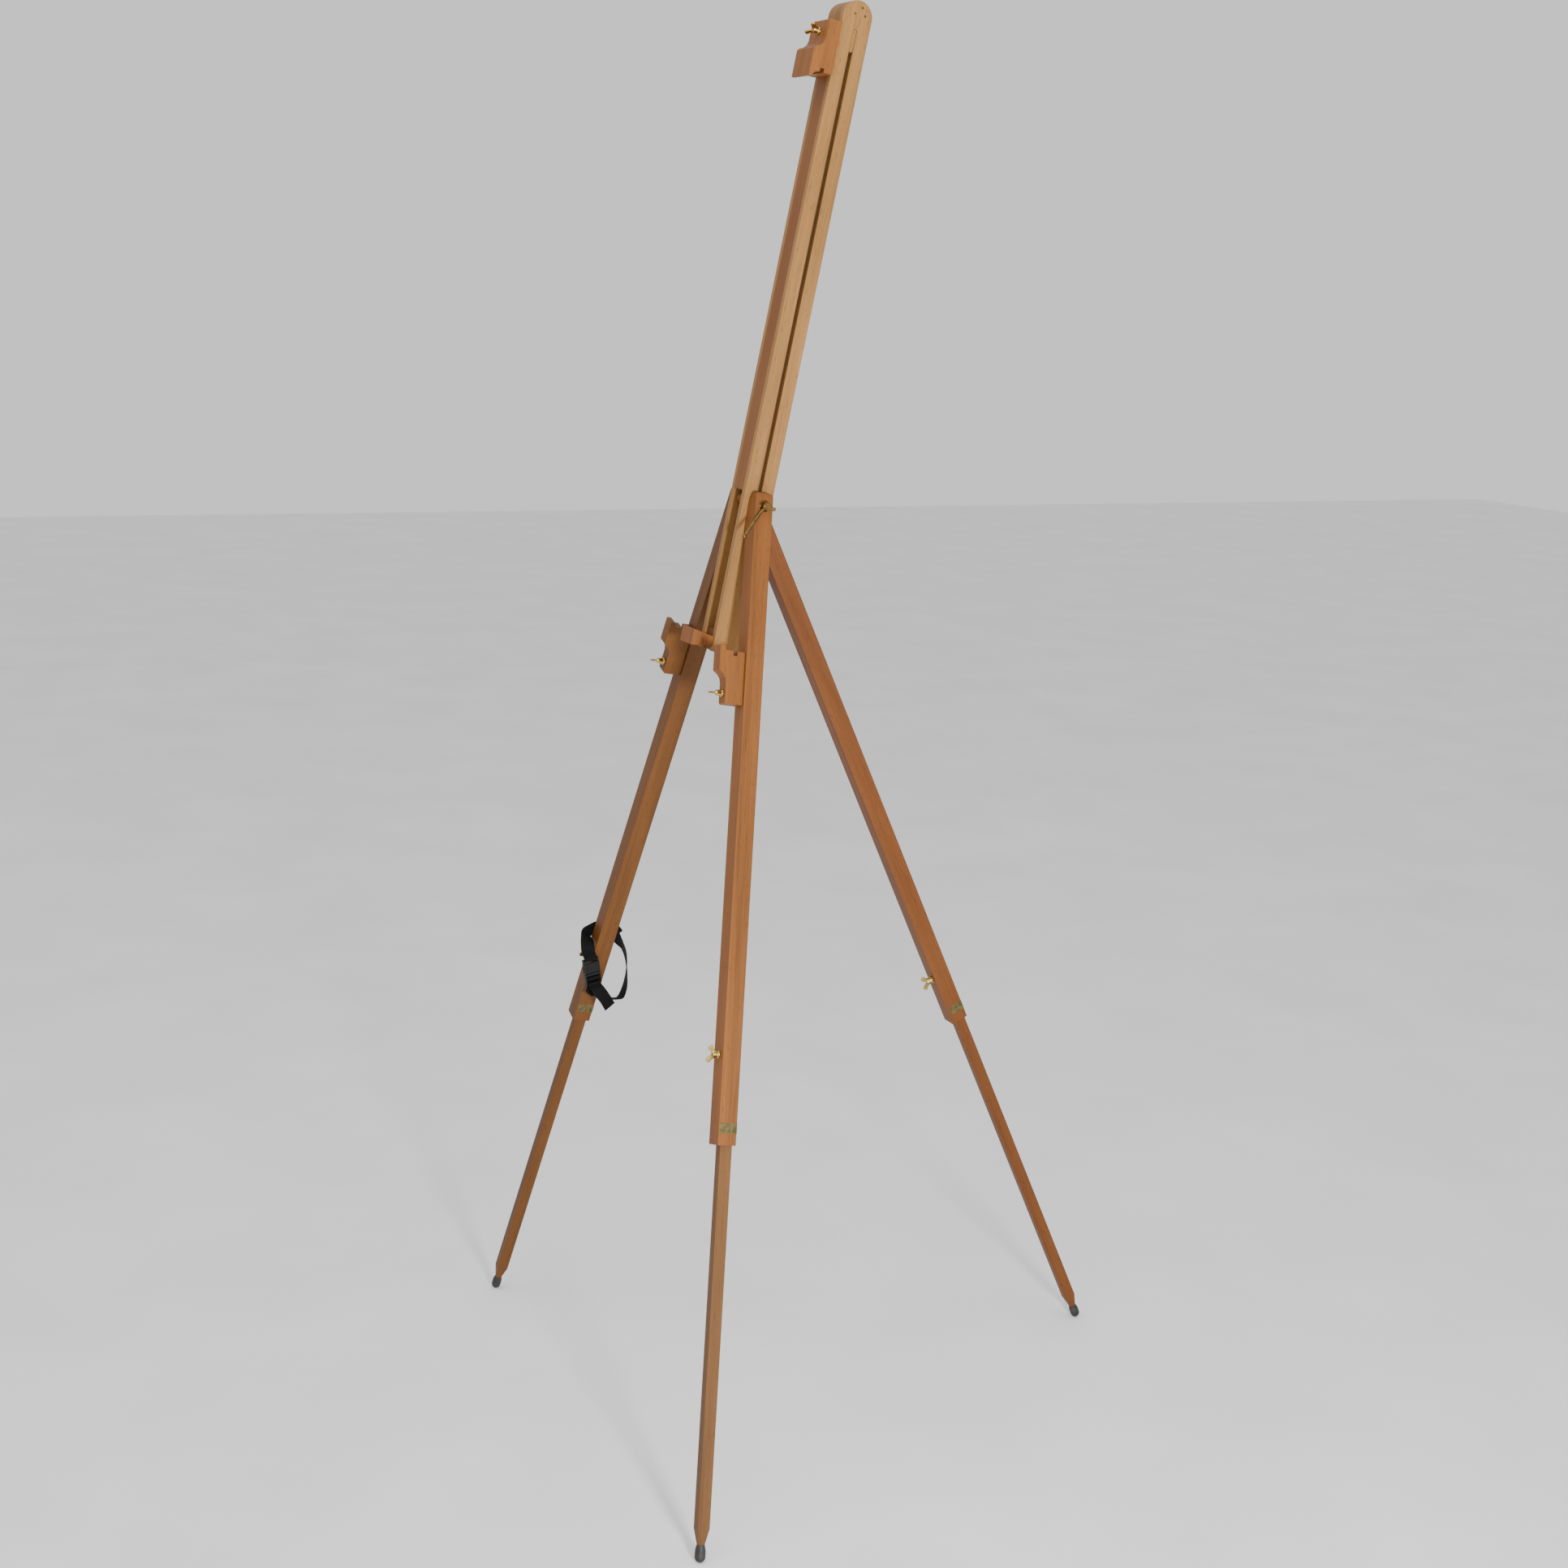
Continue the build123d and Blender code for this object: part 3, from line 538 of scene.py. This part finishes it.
def ribbon_mesh(name, places, half_width, half_thick):
    """Flat webbing with rounded edges; its UV runs in metres across and along it."""
    run = smooth_places(places, STEPS_PER_PLACE)
    columns = 12
    section = []
    for i in range(columns + 1):
        u = -math.cos(math.pi * i / columns) * half_width
        edge = max(0.0, abs(u) - (half_width - half_thick)) / half_thick
        section.append((u, half_thick * math.sqrt(max(0.0, 1 - edge * edge))))
    ring = section + [(u, -v) for u, v in section[-2:0:-1]]
    bm = bmesh.new()
    layer = bm.loops.layers.uv.new("web")
    rows, lengths, length = [], [], 0.0
    for i, (centre, width) in enumerate(run):
        ahead, behind = run[min(i + 1, len(run) - 1)][0], run[max(i - 1, 0)][0]
        forward = (ahead - behind).normalized()
        across = (width - forward * width.dot(forward)).normalized()
        out = forward.cross(across)
        if i:
            length += (centre - run[i - 1][0]).length * MM
        lengths.append(length)
        rows.append([bm.verts.new((centre + across * u + out * v) * MM) for u, v in ring])
    count = len(ring)
    for r in range(len(rows) - 1):
        for i in range(count):
            j = (i + 1) % count
            face = bm.faces.new((rows[r][i], rows[r][j], rows[r + 1][j], rows[r + 1][i]))
            for loop, (u, v) in zip(face.loops, ((i, r), (j, r), (j, r + 1), (i, r + 1))):
                loop[layer].uv = (ring[u][0] * MM, lengths[v])
    for row in (rows[0], rows[-1]):
        face = bm.faces.new(row)
        for loop, (u, v) in zip(face.loops, ring):
            loop[layer].uv = (u * MM, v * MM)
    bmesh.ops.recalc_face_normals(bm, faces=bm.faces)
    mesh = bpy.data.meshes.new(name)
    bm.to_mesh(mesh)
    bm.free()
    for face in mesh.polygons:
        face.use_smooth = True
    return mesh


def box(bm, x, y, z):
    """A box from three (low, high) pairs in millimetres."""
    corners = [
        [bm.verts.new((x[i] * MM, y[j] * MM, z[k] * MM)) for k in (0, 1)] for i in (0, 1) for j in (0, 1)
    ]
    (a, b), (c, d), (e, f), (g, h) = corners
    for face in ((a, b, d, c), (e, g, h, f), (a, e, f, b), (c, d, h, g), (a, c, g, e), (b, f, h, d)):
        bm.faces.new(face)


def moulded(name, boxes, voxel=0.45):
    """Overlapping boxes melted into one soft-edged moulding."""
    bm = bmesh.new()
    for sizes in boxes:
        box(bm, *sizes)
    bmesh.ops.recalc_face_normals(bm, faces=bm.faces)
    mesh = bpy.data.meshes.new(name)
    bm.to_mesh(mesh)
    bm.free()
    mesh = melted(new_object(name, mesh), name, voxel, iterations=5)
    for face in mesh.polygons:
        face.use_smooth = True
    return mesh


def make_strap():
    web = webbing("web_black")
    for name, places in (("strap_loop", LOOP_PLACES), ("strap_tail", TAIL_PLACES)):
        mesh = ribbon_mesh(name + "_web", places, WEB_HALF_WIDTH, WEB_HALF_THICK)
        mesh.materials.append(web)
        piece = new_object(name + "_web", mesh, FAR)
        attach(piece, "far_leg")
        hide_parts(name)
    rail, wide = 11.4, 13.4
    rails = [(-wide, -rail), (rail, wide)]
    socket = [((-13.0, 1.8), (-wide, wide), (1.9, 3.6)), ((-13.0, 1.8), (-wide, wide), (-3.6, -1.9))]
    socket += [((-14.4, -9.5), (-wide, wide), (-3.0, 3.0)), ((-20.9, -18.8), (-wide, wide), (-2.2, 2.2))]
    socket += [((-20.9, -9.0), side, (-2.4, 2.4)) for side in rails]
    socket += [((-9.5, 1.8), (-4.6, 4.6), (-3.2, 3.2))]
    socket += [((-0.2, 1.8), side, (-3.4, 3.4)) for side in rails]
    plug = [((2.7, 6.6), (-wide, wide), (-3.2, 3.2)), ((10.6, 12.6), (-wide, wide), (-1.6, 2.2))]
    plug += [((18.6, 20.4), (-wide, wide), (-2.0, 2.0))]
    plug += [((2.7, 20.4), side, (-2.6, 2.6)) for side in rails]
    plug += [((-8.6, 3.2), side, (-1.3, 1.3)) for side in ((-12.6, -9.8), (9.8, 12.6))]
    plug += [((-9.0, 3.2), (-3.0, 3.0), (-1.3, 1.3))]
    black = plastic("buckle_black", BUCKLE)
    for name, boxes in (("buckle_socket", socket), ("buckle_plug", plug)):
        mesh = moulded(name + "_shape", boxes)
        mesh.materials.append(black)
        piece = new_object(name + "_shape", mesh, BUCKLE)
        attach(piece, "far_leg")
        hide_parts(name)


make_strap()


# ---- floor and lights ----
FLOOR_HALF = 12.0
WORLD_STRENGTH = 0.9


def make_stage():
    bm = bmesh.new()
    bmesh.ops.create_grid(bm, x_segments=1, y_segments=1, size=FLOOR_HALF)
    mesh = bpy.data.meshes.new("floor")
    bm.to_mesh(mesh)
    bm.free()
    floor = new_object("floor", mesh)
    shader = Shader("floor_paint")
    place = shader.place(Matrix.Identity(4), (0, 0, 0))
    cloud = shader.noise(place, 3.0, 2.0, 0.5)
    shader.link(shader.ramp(cloud, ((0.3, (0.80, 0.80, 0.80)), (0.7, (0.86, 0.86, 0.86)))),
                shader.surface.inputs["Base Color"])
    shader.surface.inputs["Roughness"].default_value = 0.8
    mesh.materials.append(shader.material)


def area_light(name, place, target, size, power, colour=(1, 1, 1)):
    data = bpy.data.lights.new(name, "AREA")
    data.shape = "DISK"
    data.size = size
    data.energy = power
    data.color = colour
    light = bpy.data.objects.new(name, data)
    bpy.context.scene.collection.objects.link(light)
    aim = (Vector(target) - Vector(place)).to_track_quat("-Z", "Y")
    light.matrix_world = Matrix.Translation(place) @ aim.to_matrix().to_4x4()


make_stage()
area_light("key", PIVOT + Vector((3.3, -0.36, -0.15)), PIVOT - Vector((0, 0, 0.4)), 0.45, 130)
area_light("top", (0.6, -1.2, 4.6), (0, 0, 1.0), 3.0, 60)
world = bpy.data.worlds.new("studio")
bpy.context.scene.world = world
world.use_nodes = True
world.node_tree.nodes["Background"].inputs["Color"].default_value = (1, 1, 1, 1)
world.node_tree.nodes["Background"].inputs["Strength"].default_value = WORLD_STRENGTH
